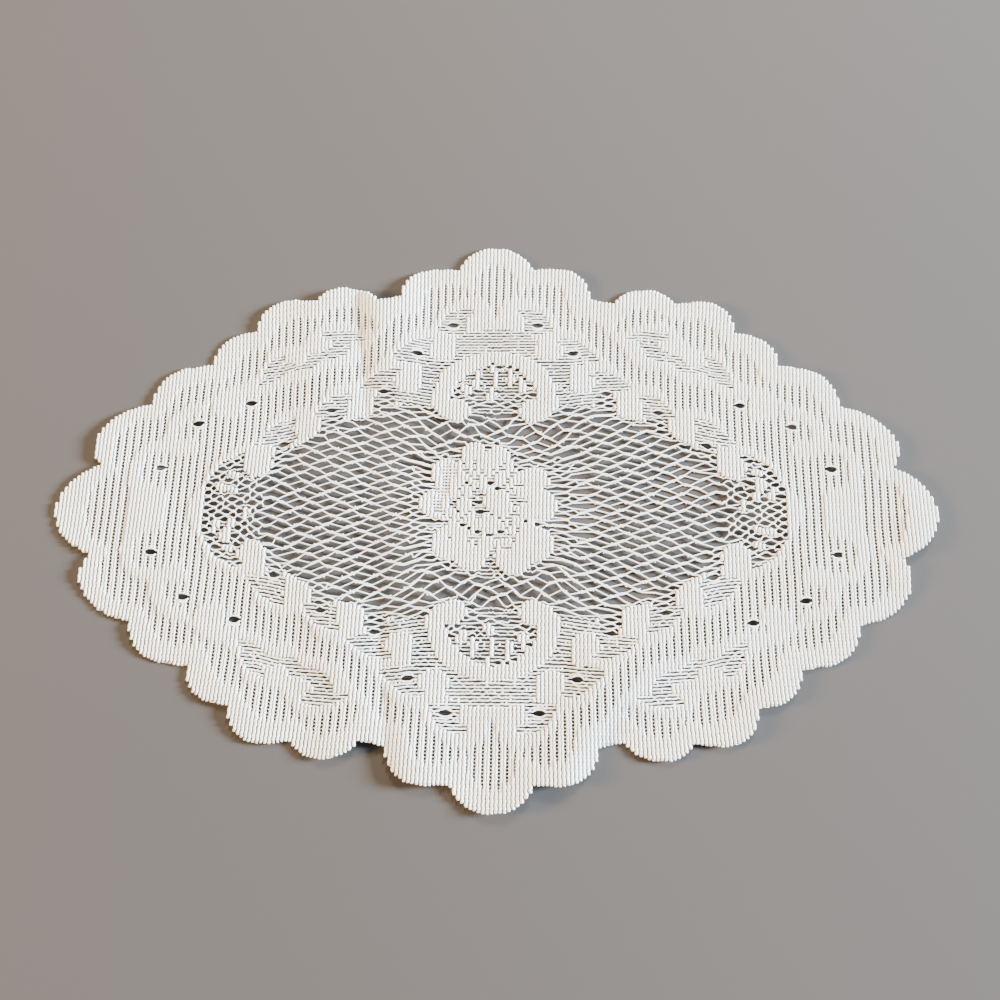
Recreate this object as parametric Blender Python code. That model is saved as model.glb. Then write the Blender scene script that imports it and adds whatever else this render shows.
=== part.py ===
"""Scalloped lace doily lying flat: one thin sheet with its outline, its soft creases and its largest gaps.

Metres, +Z up. The sheet's middle is over the origin, its long axis runs along X, and its underside rests on z = 0.
The tables are in millimetres.
"""

import math
from collections import namedtuple

import bmesh
import bpy
from mathutils import Vector

NAME = "lace_mat"
COLLECTION = "lace_doily"

MM = 0.001
THICKNESS = 1.2  # a thick inlay cord over the chain threads
CHORD = 3.5  # longest straight step along a round edge
BOW = 1.7  # how far the two long ends lie nearer than the middle
HALF_LENGTH = 228.8
HALF_WIDTH = 151.2
MERGE = 0.00005
FLAT_ANGLE = 0.001

# A quarter of the edge, from the middle of the long side to the end of the mat. Each row is one arc: where it
# ends, and how far its middle stands out from the straight line to there.
Arc = namedtuple("Arc", "x y rise")
QUARTER_EDGE = [
    Arc(20.4, 137.6, 3.9),
    Arc(38.0, 137.6, 0.6),
    Arc(51.8, 120.0, 4.0),
    Arc(64.6, 117.4, 0.0),
    Arc(80.0, 125.8, 2.0),
    Arc(98.0, 117.9, 3.0),
    Arc(105.2, 118.1, 0.0),
    Arc(116.0, 118.4, 0.5),
    Arc(129.8, 100.6, 4.4),
    Arc(138.5, 98.9, 0.0),
    Arc(152.6, 81.0, 4.3),
    Arc(163.0, 79.4, 0.3),
    Arc(183.4, 58.6, 6.0),
    Arc(190.5, 56.8, 0.0),
    Arc(211.2, 38.8, 3.4),
    Arc(207.6, 24.0, 1.9),
    Arc(214.6, 20.8, 0.4),
    Arc(HALF_LENGTH, 0.0, 3.2),
]

# Soft ridges that storage folds left in the cloth. A crest runs from (x0, y0) to (x1, y1), bowed sideways by
# bow. West and east are the widths of its two sides. A foot of 1 meets the table in a crease, 2 fades out.
# start, middle and end are the heights along the crest.
Fold = namedtuple("Fold", "x0 y0 x1 y1 bow west east west_foot east_foot start middle end")
FOLDS = [
    Fold(-98, 128, -71, -124, 0, 24, 21, 2, 1, 3.2, 1.2, 3.0),
    Fold(-63, 128, -39, -124, 0, 12, 28, 1, 2, 4.2, 1.5, 2.8),
    Fold(122, -60, 34, -138, -17, 27, 13, 2, 2, 0.4, 3.4, 4.4),
    Fold(160, -76, 118, -124, 0, 22, 14, 2, 2, 0.6, 1.6, 1.2),
    Fold(214, 46, 212, -42, 4, 13, 18, 2, 2, 0.8, 1.4, 0.9),
]

# Where the sheet is divided finely enough to take its ridges: a box, the steps between its cuts, and how far
# its upright cuts lean in x for each unit of y.
Patch = namedtuple("Patch", "x0 x1 y0 y1 step_x step_y lean")
PATCHES = [
    Patch(-124, -10, -128, 130, 7.6, 25.8, -0.102),
    Patch(6, 126, -148, -44, 8.0, 8.0, 0.0),
    Patch(126, 168, -128, -64, 8.4, 8.0, 0.0),
    Patch(198, 231, -48, 52, 6.6, 12.5, 0.0),
]

# The widest cells of the net, round the rose and at the mouths of the two fans: middle, width and height of
# each, and how far its upper side leans to the right of its lower side.
Gap = namedtuple("Gap", "x y width height lean")
WIDE_CELLS = [
    Gap(22.0, 42.2, 9.0, 6.0, -0.4),
    Gap(12.6, 43.4, 8.8, 5.8, 0.6),
    Gap(3.4, 43.2, 8.6, 5.6, 0.6),
    Gap(-9.6, 43.0, 8.4, 5.6, -0.6),
    Gap(-20.0, 42.0, 9.0, 6.2, -0.8),
    Gap(-25.4, 34.8, 9.2, 5.6, 0.0),
    Gap(-22.4, -33.0, 8.6, 5.8, -0.6),
    Gap(-25.6, -40.6, 9.0, 6.0, 0.6),
    Gap(-11.0, -38.6, 9.2, 6.2, 0.8),
    Gap(11.2, -40.2, 9.0, 6.6, -0.8),
    Gap(115.6, 13.8, 9.6, 6.2, 0.0),
    Gap(-116.6, 9.8, 9.4, 5.8, 0.4),
    Gap(20.6, -39.0, 8.6, 5.4, -0.8),
    Gap(22.6, 30.6, 8.6, 5.2, 0.0),
    Gap(33.0, 47.8, 9.0, 4.8, 0.0),
    Gap(116.2, -6.8, 8.8, 5.0, -0.8),
    Gap(112.8, -13.4, 9.6, 4.4, 0.0),
    Gap(-6.9, -44.4, 9.0, 4.8, 0.0),
]

# The round eyelets of one quarter, the same in all four.
QUARTER_EYELETS = [
    Gap(130.4, 58.2, 5.8, 2.8, 0.0),
    Gap(157.5, 46.6, 5.8, 2.8, 0.0),
    Gap(176.0, 22.8, 5.8, 2.8, 0.0),
    Gap(23.1, 103.8, 5.4, 3.0, 0.0),
    Gap(42.0, 87.0, 5.4, 2.8, 0.0),
]
FOUR_QUARTERS = [(1, 1), (1, -1), (-1, -1), (-1, 1)]

LACE_WHITE = (0.83, 0.81, 0.76, 1.0)
LACE_ROUGHNESS = 0.9


def clear_scene():
    for item in list(bpy.data.objects):
        bpy.data.objects.remove(item, do_unlink=True)


def arc_points(start, arc):
    """Points after start along one arc of the edge, walking with the mat on the right hand."""
    a = Vector(start)
    b = Vector((arc.x, arc.y))
    chord = b - a
    steps = max(1, math.ceil(chord.length / CHORD))
    if arc.rise == 0:
        return [a.lerp(b, i / steps) for i in range(1, steps + 1)]
    radius = (chord.length**2 / 4 + arc.rise**2) / (2 * arc.rise)
    outward = Vector((-chord.y, chord.x)).normalized()
    centre = (a + b) / 2 + outward * (arc.rise - radius)
    first = math.atan2(a.y - centre.y, a.x - centre.x)
    sweep = 2 * math.asin(chord.length / (2 * radius))
    turns = [first - sweep * i / steps for i in range(1, steps + 1)]
    return [centre + radius * Vector((math.cos(t), math.sin(t))) for t in turns]


def quarter_outline():
    """Points from the middle of the long side to the end of the mat, both included."""
    points = [Vector((0.0, HALF_WIDTH))]
    for arc in QUARTER_EDGE:
        points += arc_points(points[-1], arc)
    return points


def whole_outline():
    quarter = quarter_outline()
    outline = []
    for k, (sx, sy) in enumerate(FOUR_QUARTERS):
        walk = quarter if k % 2 == 0 else quarter[::-1]
        outline += [Vector((p.x * sx, p.y * sy)) for p in walk[:-1]]
    return outline


def cell_points(gap):
    """A net cell: pointed at its two ends, straight above and below."""
    half, flat, high = gap.width / 2, gap.width / 4, gap.height / 2
    shift = gap.lean / 2
    return [
        Vector((gap.x - half, gap.y)),
        Vector((gap.x - flat + shift, gap.y + high)),
        Vector((gap.x + flat + shift, gap.y + high)),
        Vector((gap.x + half, gap.y)),
        Vector((gap.x + flat - shift, gap.y - high)),
        Vector((gap.x - flat - shift, gap.y - high)),
    ]


def bowed(point):
    """The mat lies a little bent: its ends are nearer than its middle."""
    return Vector((point.x, point.y - BOW * (point.x / HALF_LENGTH) ** 2))


def side(distance, width, foot):
    """Share of a ridge's height at a distance from its crest."""
    u = min(1.0, abs(distance) / width)
    return (1 - u * u) ** foot


def fold_height(fold, x, y):
    start = Vector((fold.x0, fold.y0))
    run = Vector((fold.x1, fold.y1)) - start
    along = run.normalized()
    east = Vector((-along.y, along.x))
    place = Vector((x, y)) - start
    s = min(1.0, max(0.0, place.dot(along) / run.length))
    offset = place.dot(east) - fold.bow * 4 * s * (1 - s)
    if offset < 0:
        share = side(offset, fold.west, fold.west_foot)
    else:
        share = side(offset, fold.east, fold.east_foot)
    crest = (1 - s) * (1 - 2 * s) * fold.start + 4 * s * (1 - s) * fold.middle + s * (2 * s - 1) * fold.end
    return share * crest


def height(x, y):
    """How far the cloth stands off the table at a place, in millimetres."""
    return max(0.0, sum(fold_height(fold, x, y) for fold in FOLDS))


def add_ring(curve, points):
    """One closed straight-sided ring of a flat curve."""
    spline = curve.splines.new("POLY")
    spline.points.add(len(points) - 1)
    for slot, point in zip(spline.points, points):
        place = bowed(point) * MM
        slot.co = (place.x, place.y, 0.0, 1.0)
    spline.use_cyclic_u = True


def flat_sheet(name):
    """The pierced sheet as a mesh, its underside on z = 0."""
    curve = bpy.data.curves.new(name + "_outline", "CURVE")
    curve.dimensions = "2D"
    curve.fill_mode = "BOTH"
    curve.extrude = THICKNESS * MM / 2
    add_ring(curve, whole_outline())
    for gap in WIDE_CELLS:
        add_ring(curve, cell_points(gap))
    for gap in QUARTER_EYELETS:
        for sx, sy in FOUR_QUARTERS:
            add_ring(curve, cell_points(gap._replace(x=gap.x * sx, y=gap.y * sy)))
    drawing = bpy.data.objects.new(name + "_outline", curve)
    bpy.context.scene.collection.objects.link(drawing)
    depsgraph = bpy.context.evaluated_depsgraph_get()
    mesh = bpy.data.meshes.new_from_object(drawing.evaluated_get(depsgraph))
    bpy.data.objects.remove(drawing, do_unlink=True)
    return mesh


def cut_patch(bm, patch):
    """Divides the faces inside a patch by upright and level cuts."""

    def reach(face):
        middle = face.calc_center_median() / MM
        return middle.x - patch.lean * middle.y, middle.y

    def inside(face):
        x, y = reach(face)
        return patch.x0 < x < patch.x1 and patch.y0 < y < patch.y1

    def cut(faces, point, normal):
        edges = {edge for face in faces for edge in face.edges}
        verts = {vert for face in faces for vert in face.verts}
        bmesh.ops.bisect_plane(
            bm, geom=list(verts) + list(edges) + list(faces), dist=MERGE / 10, plane_co=point, plane_no=normal
        )

    upright = Vector((1.0, -patch.lean, 0.0)).normalized()
    level = Vector((0.0, 1.0, 0.0))
    for x in (patch.x0, patch.x1):
        cut(bm.faces[:], Vector((x * MM, 0, 0)), upright)
    for y in (patch.y0, patch.y1):
        cut([f for f in bm.faces if patch.x0 < reach(f)[0] < patch.x1], Vector((0, y * MM, 0)), level)
    for k in range(1, round((patch.x1 - patch.x0) / patch.step_x)):
        x = patch.x0 + k * patch.step_x
        cut([f for f in bm.faces if inside(f)], Vector((x * MM, 0, 0)), upright)
    for k in range(1, round((patch.y1 - patch.y0) / patch.step_y)):
        y = patch.y0 + k * patch.step_y
        cut([f for f in bm.faces if inside(f)], Vector((0, y * MM, 0)), level)


def lace_material():
    material = bpy.data.materials.new("lace_cotton")
    material.use_nodes = True
    shader = material.node_tree.nodes["Principled BSDF"]
    shader.inputs["Base Color"].default_value = LACE_WHITE
    shader.inputs["Roughness"].default_value = LACE_ROUGHNESS
    shader.inputs["Metallic"].default_value = 0.0
    return material


def build_mat():
    mesh = flat_sheet(NAME)
    bm = bmesh.new()
    bm.from_mesh(mesh)
    bmesh.ops.remove_doubles(bm, verts=bm.verts, dist=MERGE)
    bmesh.ops.dissolve_limit(bm, angle_limit=FLAT_ANGLE, verts=bm.verts, edges=bm.edges)
    bmesh.ops.translate(bm, verts=bm.verts, vec=(0, 0, THICKNESS * MM / 2))
    for patch in PATCHES:
        cut_patch(bm, patch)
    for vert in bm.verts:
        vert.co.z += height(vert.co.x / MM, vert.co.y / MM) * MM
    bmesh.ops.triangulate(bm, faces=bm.faces)
    bmesh.ops.recalc_face_normals(bm, faces=bm.faces)
    bm.to_mesh(mesh)
    bm.free()
    mesh.name = NAME
    mesh.materials.clear()
    mesh.materials.append(lace_material())
    mat = bpy.data.objects.new(NAME, mesh)
    collection = bpy.data.collections.new(COLLECTION)
    bpy.context.scene.collection.children.link(collection)
    collection.objects.link(mat)
    return mat


clear_scene()
build_mat()
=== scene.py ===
"""Looks of the scalloped lace doily: its inlay ribs, its chains, its net and the plain table under it.

The lace is made as a lace machine makes it. Chains of thread run along the mat, one above another. Ribs of
thick soft inlay yarn run across it, laid over the chains where the pattern is solid and left out where it is
open. A chart of drawn motifs says what each small place of the mat is.
All tables are in millimetres, in the mat's own flat plane: x along its length, y across it.
"""

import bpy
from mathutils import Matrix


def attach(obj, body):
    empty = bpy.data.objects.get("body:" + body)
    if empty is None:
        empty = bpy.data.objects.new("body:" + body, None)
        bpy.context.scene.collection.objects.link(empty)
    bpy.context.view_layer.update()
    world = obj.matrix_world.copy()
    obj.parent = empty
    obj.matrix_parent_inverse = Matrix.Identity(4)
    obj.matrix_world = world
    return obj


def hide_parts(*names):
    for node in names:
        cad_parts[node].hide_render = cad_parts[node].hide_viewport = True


bl_info = {
    "name": "Lace doily",
    "version": (1, 0, 0),
    "blender": (4, 5, 0),
    "location": "View3D > Sidebar > Lace doily",
    "description": "Builds a machine lace doily of inlay ribs, chains and net, on a plain table",
    "category": "Object",
}

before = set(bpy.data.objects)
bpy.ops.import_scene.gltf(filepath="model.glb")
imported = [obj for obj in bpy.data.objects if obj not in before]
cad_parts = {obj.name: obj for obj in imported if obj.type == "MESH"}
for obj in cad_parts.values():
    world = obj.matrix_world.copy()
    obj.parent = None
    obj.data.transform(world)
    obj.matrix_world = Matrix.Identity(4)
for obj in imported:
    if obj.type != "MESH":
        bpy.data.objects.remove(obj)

import math
import random
from collections import namedtuple
from itertools import groupby

import bmesh
import bpy
import numpy as np
from mathutils import Matrix, Vector

MM = 0.001
CAD_NODE = "lace_mat"
BODY = "root"

# --- The sheet: its edge and its folds, the same as the solid's ---

HALF_LENGTH = 228.8
HALF_WIDTH = 151.2
BOW = 1.7  # how far the two long ends lie nearer than the middle
CHORD = 3.5  # longest straight step along a round edge

# A quarter of the edge, from the middle of the long side to the end of the mat. Each row is one arc: where it
# ends, and how far its middle stands out from the straight line to there.
Arc = namedtuple("Arc", "x y rise")
QUARTER_EDGE = [
    Arc(20.4, 137.6, 3.9), Arc(38, 137.6, 0.6), Arc(51.8, 120, 4), Arc(64.6, 117.4, 0), Arc(80, 125.8, 2),
    Arc(98, 117.9, 3), Arc(105.2, 118.1, 0), Arc(116, 118.4, 0.5), Arc(129.8, 100.6, 4.4),
    Arc(138.5, 98.9, 0), Arc(152.6, 81, 4.3), Arc(163, 79.4, 0.3), Arc(183.4, 58.6, 6), Arc(190.5, 56.8, 0),
    Arc(211.2, 38.8, 3.4), Arc(207.6, 24, 1.9), Arc(214.6, 20.8, 0.4), Arc(HALF_LENGTH, 0, 3.2),
]
FOUR_QUARTERS = [(1, 1), (1, -1), (-1, -1), (-1, 1)]

# Soft ridges that storage folds left in the cloth. A crest runs from (x0, y0) to (x1, y1), bowed sideways by
# bow. West and east are the widths of its two sides. A foot of 1 meets the table in a crease, 2 fades out.
# start, middle and end are the heights along the crest.
Fold = namedtuple("Fold", "x0 y0 x1 y1 bow west east west_foot east_foot start middle end")
FOLDS = [
    Fold(-98, 128, -71, -124, 0, 24, 21, 2, 1, 3.2, 1.2, 3.0),
    Fold(-63, 128, -39, -124, 0, 12, 28, 1, 2, 4.2, 1.5, 2.8),
    Fold(122, -60, 34, -138, -17, 27, 13, 2, 2, 0.4, 3.4, 4.4),
    Fold(160, -76, 118, -124, 0, 22, 14, 2, 2, 0.6, 1.6, 1.2),
    Fold(214, 46, 212, -42, 4, 13, 18, 2, 2, 0.8, 1.4, 0.9),
]

# Between the folds the cloth stands off the table by SLACK on average, in slow waves. Each wave: how fast it
# turns along x and along y, where it starts, and its size beside the others.
SLACK = 0.8
SLACK_WAVES = [(0.095, 0.06, 0.6, 1.0), (0.045, -0.11, 2.1, 1.0), (-0.03, 0.16, 0.0, 0.6)]
SLACK_SWING = 0.55

# The ribs lean a little, and the further from the long axis, the wider they fan out from the middle.
LEAN = 0.018
FLARE = 0.0000045
FLARE_START = 45.0

# --- The chart: what the mat is made of at each place ---

RIB = 1.94  # from one rib to the next
ROW = 1.74  # from one chain to the next, where nothing pulls them apart
FIRST_ROW = 1.1  # level of chain 0 in the middle of the mat
ROW_DRIFT = -0.003  # how much the chains sink per millimetre to the right
FIRST_RIB = -math.ceil(HALF_LENGTH / RIB)
LAST_RIB = -FIRST_RIB
LAST_ROW = math.ceil(HALF_WIDTH / ROW)

# A layer is a kind and its motifs. A motif is drawn as with a round nib: rows of x, y and the nib's radius.
# Later motifs lie over earlier ones. Where none lies, the ribs touch ("dense").
#   dense   ribs side by side
#   dotted  every second groove between ribs is parted into a line of small holes
#   grid    thin ribs over the chains, so that only a small dash is open in each place
#   speck   ribs with many single places left out
#   slit    no ribs: level chains with slits between them, closed where two chains join
#   ray     the same with thinner chains, so that the slits stand wider
#   net     chains that meet in turn with the one above and the one below
#   fan     the same, finer, as in the fans
#   calm    between the two, where the net runs into something solid
# Single places are "tie", a thin rib alone in a slit, or "open", where nothing stands.
QUARTER_LAYERS = [
    # The field inside the solid border, one lobe after another from the crest to the tip.
    ("dotted", [[(0, 110, 2.6), (0, 116, 3.2), (0, 127, 12.4), (0, 132, 8.6)]]),
    ("dense", [
        [(11, 105, 5.6), (6, 110, 4.2), (7, 115.5, 3), (12, 118.3, 2.6), (19, 118.6, 2.6), (26, 116.2, 2.6),
         (31, 111, 2.4), (34, 104, 1.8)],
    ]),
    ("dotted", [
        [(14, 122.3, 1.6), (19, 123.5, 3.2), (26, 122.6, 6), (32, 120, 7), (36, 113, 5), (37.5, 107, 4.6),
         (44, 105.3, 4.2), (51, 103.3, 5), (55, 98, 5), (59.5, 92, 5), (65, 86.5, 5.6), (70, 80, 4.6),
         (75, 75.5, 4.2), (81, 74.2, 4.6), (88, 72.5, 4.8), (93, 69.5, 5.5), (99, 61.8, 6.8),
         (107, 63.3, 6.6), (113, 61, 6.8), (118, 58, 6.2), (124, 55.5, 7.6), (131, 50.5, 13.4)],
        [(131, 46, 10.5), (137, 43, 9), (145, 39.5, 9.8), (150, 38, 11), (155, 28.5, 8), (160, 18.5, 9),
         (164, 12, 8), (166, 0, 5.5)],
        [(152, 47.5, 5.5), (159, 44.5, 6.6), (164, 42.5, 5)], [(152.5, 52, 3), (151.8, 57.5, 1.2)],
        [(164, 26, 3), (172, 22.5, 9), (178, 22.5, 9)],
        [(66, 101.7, 2.2), (71, 104.7, 4.2), (77, 108.6, 5), (84, 110, 4.6), (90, 108.6, 3),
         (95, 106.4, 1.6)],
        [(97.5, 104.5, 2.4), (103, 102.6, 5.4), (109, 99.5, 8), (114, 97.5, 7), (119, 94.5, 4.4),
         (122.5, 92, 2.8)],
        [(125, 88.8, 2.4), (130, 84, 6), (134, 79, 7), (136.5, 74.5, 5), (142, 71.8, 3), (147, 68, 1.8)],
        [(152.5, 66.5, 4.6), (158, 64.5, 6), (164, 62, 6.5), (169, 56.5, 5), (173.5, 51.5, 3.6)],
        [(178, 44, 5.6), (186, 41.5, 8.2), (192, 36, 9), (195, 29, 6.5), (193.5, 22, 3.9), (193.5, 10, 3.9),
         (193.5, 0, 4)],
        [(200, 16, 3), (203, 10, 7), (205.5, 0, 7.2)],
    ]),
    # Three solid hooks curled round the eyelets.
    ("dense", [
        [(120, 69.5, 3), (127, 68.5, 3), (134, 67, 3.4), (141, 65, 3.2), (146, 61, 3.4), (144.5, 56, 3.6),
         (141, 55.5, 6.4)],
        [(155, 57.5, 2), (161, 55.5, 2.4), (167, 51.5, 3), (171, 46, 3.2), (171.8, 39, 3.4), (168, 34, 4),
         (161.5, 34.3, 5.4)],
        [(178, 36, 2), (183, 33.8, 2.6), (187, 29, 3), (188.5, 22, 3.1), (187.8, 14, 3.2), (187, 5, 3.2),
         (187, 0, 3.2)],
        [(180, 8, 4), (176.5, 6.5, 6)],
    ]),
    # Veined leaves, from the scroll round to the side fan.
    ("slit", [
        [(12, 111.6, 1), (17, 111, 2.6), (23, 107.5, 4.4), (26, 103.5, 4.2), (30.5, 101, 1.2)],
        [(19, 104, 3.4), (18.5, 101, 3), (25, 100.5, 1.6)],
        [(0, 94.8, 6.2), (6, 94.6, 6.4), (12, 93.2, 6.8), (18, 91, 6), (21, 86.6, 3.6), (26, 82.2, 2.4),
         (30, 79.3, 3.4)],
        [(33, 94.6, 1), (38, 93.6, 2.4), (41.5, 89.6, 5.5), (46, 86.2, 5.4), (52, 84.6, 2.8), (55, 84, 1)],
        [(40.5, 84, 4), (36, 79.5, 5), (34.2, 73, 5), (35.8, 67, 4.2), (40, 62.5, 5.2), (48, 61, 4)],
        [(36, 66, 4), (36.4, 61, 4), (37, 57.5, 3)],
        [(48, 76, 1), (54, 75.6, 2), (60, 72.3, 4), (65, 69.6, 4), (71, 68, 1.4)],
        [(60, 69, 5), (56, 63, 5.5)],
        [(75, 62, 1), (80, 61.5, 2), (86, 57, 4.5), (90, 53.5, 4), (94, 51.5, 1.6)],
        [(82, 55, 4.4), (86, 50, 4)],
        [(104, 49.6, 1.2), (110, 46.6, 3.2), (116, 41.6, 4.4), (121, 37.8, 3), (126, 35.4, 1.2)],
        [(108, 40, 3.4), (113, 35.5, 4)],
    ]),
    # A sprig that stands apart in the field.
    ("slit", [
        [(72, 96, 0.9), (78, 97, 2.4), (86, 97.6, 3), (92, 96.8, 2.6), (96, 95.6, 1)],
        [(83, 94, 5.2), (84.4, 89.4, 4.6), (88, 86, 2.8), (95, 85.2, 3), (101, 80.8, 4), (107, 78.6, 1.8),
         (112, 79, 2.4), (117.5, 76, 3.6), (122.5, 72, 2.8), (126, 69.5, 1.6)],
        [(114, 85.5, 1), (119, 81, 3), (122.5, 76, 3)],
    ]),
    ("dense", [
        [(97.5, 92, 6), (100.5, 91, 3)], [(106.5, 84.5, 4.8), (107, 85, 4.8)],
    ]),
    # The net, then the level chains that pull it in beside each solid knob.
    ("net", [[(0, 0, 52), (45, 0, 57), (66, 0, 50), (86, 0, 39), (98, 0, 32), (105, 0, 22), (107, 0, 12)]]),
    ("calm", [
        [(36, -26, 4), (38, -13, 5), (38.4, 0, 5.2), (38, 13, 5), (36, 26, 4)], [(58, 60, 5), (64, 55, 5)],
        [(86, 47.5, 5), (91, 43, 4)], [(111.5, 32, 3.8), (113.5, 26, 4.2), (113.5, 22, 3.4)],
    ]),
    ("dense", [
        [(27.5, 88.5, 5.8), (28, 92.5, 5.6), (31.5, 96.5, 3), (34, 99, 3)],
        [(45.4, 69.3, 5.6), (45.4, 73.2, 5.6), (43.5, 77.5, 3.8)], [(71, 56.8, 7), (71.5, 61.5, 5)],
        [(99.6, 45.2, 7.2), (100, 49, 5)],
    ]),
    # The fan inside the scroll, and the level chains below it.
    ("ray", [[(0, 66, 15.4), (0, 68, 17.5)]]),
    ("fan", [[(17, 63, 6.6), (19, 66, 5)]]),
    ("calm", [[(0, 58.6, 3), (12, 57.2, 3.4), (11.5, 52, 3)]]),
    # The fan at each end of the net.
    ("fan", [
        [(137, 0, 16.2), (139, 9, 12.6), (137, 17.5, 9.6), (132, 24, 6.4)], [(127, 0, 7), (126, 8, 8)],
    ]),
    ("dense", [[(124.4, 24.8, 7.8), (124.4, 28.5, 7)]]),
    # The scroll and its curled end.
    ("dense", [
        [(0, 85, 3.7), (10, 82.9, 4.2), (18, 78.8, 4.8), (24, 73.2, 5), (27.6, 66, 5), (28.4, 60, 5),
         (26, 55, 5), (20, 54, 6.7)],
    ]),
]

# Solid tufts in the upper scroll fan, not the same on its two sides. The lower fan mirrors them.
SCROLL_LAYERS = [
    ("dense", [
        [(-2.4, 61.4, 2.2), (-1.6, 64, 2)], [(-1, 67, 0.9), (0.2, 70, 1.1), (0.1, 75.4, 1.1)],
        [(-1.6, 77.2, 1), (-2, 79.6, 1)],
        [(8, 69.6, 1.8), (8.2, 72.4, 2.1), (7.4, 75, 1.2), (7.6, 77.6, 1.1)],
        [(5.4, 79.4, 0.9), (5.3, 80.4, 0.9)],
        [(-10.1, 67.4, 1.1), (-9.8, 70.4, 2.4), (-9.4, 73.4, 1.2), (-9.4, 76.2, 1.1)],
        [(-14.9, 64.6, 1.8), (-15.6, 66.8, 2.4), (-17.6, 68.8, 1)],
        [(15.2, 66.4, 2.4), (14.6, 70.2, 1), (14.4, 72.6, 1)],
    ]),
]
# Tufts of the right end fan. The left one is the same, turned half round.
END_LAYERS = [
    ("dense", [
        [(136, 21.2, 1.8), (138.6, 20.4, 1.6)],
        [(138.2, 16.4, 1.6), (138.2, 13, 1.7), (136.6, 8.8, 1.9), (136, 6, 1.4)],
        [(141.2, 13.8, 1.7), (140.4, 15, 1.5)], [(145.6, 11.6, 1.4), (144.2, 9, 1.8), (143.9, 6.8, 1.5)],
        [(129.2, 4.2, 1.6), (128.8, 1, 1.9)],
        [(134.4, -9.4, 1.7), (138.8, -11, 1.6), (142.6, -10.6, 1.9), (143.4, -12.6, 1.6)],
        [(134.8, -17.6, 1.6), (137.4, -18.6, 1.9)],
    ]),
]

# The rose in the middle, which is not the same on its two sides: petals first, then what is open in them.
ROSE_LAYERS = [
    ("dense", [
        [(-10.2, 29, 7.6), (-9.6, 22, 9)], [(1.2, 27.5, 7.4), (2, 20, 9.5)],
        [(20.8, 14.8, 7.9), (14, 12, 8)], [(24, 1.8, 8.6), (15, 2, 12)], [(21.6, -18.8, 9.4), (14, -16, 9)],
        [(10.6, -24.6, 10.2), (10, -16, 9)], [(-11.6, -23.4, 9.4), (-8, -14, 10)],
        [(-22.4, -18.2, 9.4), (-16, -14, 9)], [(-31.2, 2.6, 7.4), (-24, 2, 9)],
        [(-25.4, 19.8, 7.8), (-22, 14, 8)], [(-8, 3, 17), (2, 3, 16)],
    ]),
    ("net", [[(26, 11, 1.2), (30, 11, 1.8)]]),
    ("ray", [[(-1.5, -26, 1.8), (-1.6, -29.5, 3.2), (-1.5, -33, 4)]]),
    # Shaded places of the petals.
    ("grid", [
        [(-25, 20.6, 3.6), (-21.4, 20, 2)], [(-25.6, 14.4, 1.6), (-24.6, 12.4, 1.2)],
        [(-28.4, 9.4, 1.6), (-24, 9.8, 1.2)], [(-28, 7.4, 1.8), (-27, 6.8, 1.4)],
        [(-30, 3, 2.3), (-29.4, 2.2, 2.3)],
    ]),
    ("slit", [[(-29.6, -0.8, 1.1), (-25.6, -2.2, 1.3)]]),
    ("ray", [[(-21.2, 4.4, 1.2), (-21.2, 1.2, 1.2)]]),
    # The loose ring round the heart.
    ("speck", [
        [(-11, 26, 0.9), (-11, 22.6, 1), (-9.4, 20.8, 1.8), (-7, 19.4, 1.8)],
        [(-13.6, 17, 1.8), (-8.6, 16.4, 1.8), (-4.6, 16.8, 1.8), (0, 17.6, 2), (3.4, 18.6, 2),
         (2.6, 22, 1)],
        [(10, 11, 1.8), (13, 11.6, 1.5)], [(9.4, 8, 2), (12.4, 8, 1.8)],
    ]),
    ("slit", [[(9.6, 4.6, 1.3), (14.4, 4.4, 1)]]),
    ("speck", [
        [(11, 1.6, 2), (12, -1.4, 2.2), (9.4, -3, 2.2), (12.6, -5, 1.8), (13.4, -8.6, 1.6),
         (12, -10.6, 1.4)],
    ]),
    ("slit", [
        [(-11, -14.8, 0.9), (-6, -14.8, 0.9)], [(1, -14.6, 0.9), (8, -14.4, 0.9)],
    ]),
    ("speck", [
        [(-3.6, -16.4, 1.2), (5, -17, 1.5)], [(2, -18.6, 1.6), (7, -19.8, 1.8)],
    ]),
    # The heart: an eye of level chains.
    ("ray", [
        [(-9.6, 8.4, 1.5), (-6.6, 8, 1.5), (-7, 6.6, 1.6)],
        [(-11, 4.6, 1.5), (-10.6, 1, 1.5), (-6, 0.8, 1.4)], [(-8.6, -4, 0.9), (-6, -4, 0.9)],
    ]),
]
ROSE_REACH = (42.0, 40.0)
ROSE_RIM = 1.8  # how far the net's finer cells reach round the petals
RIM_LEVEL = 14.0  # only petals further than this from the long axis have them

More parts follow.
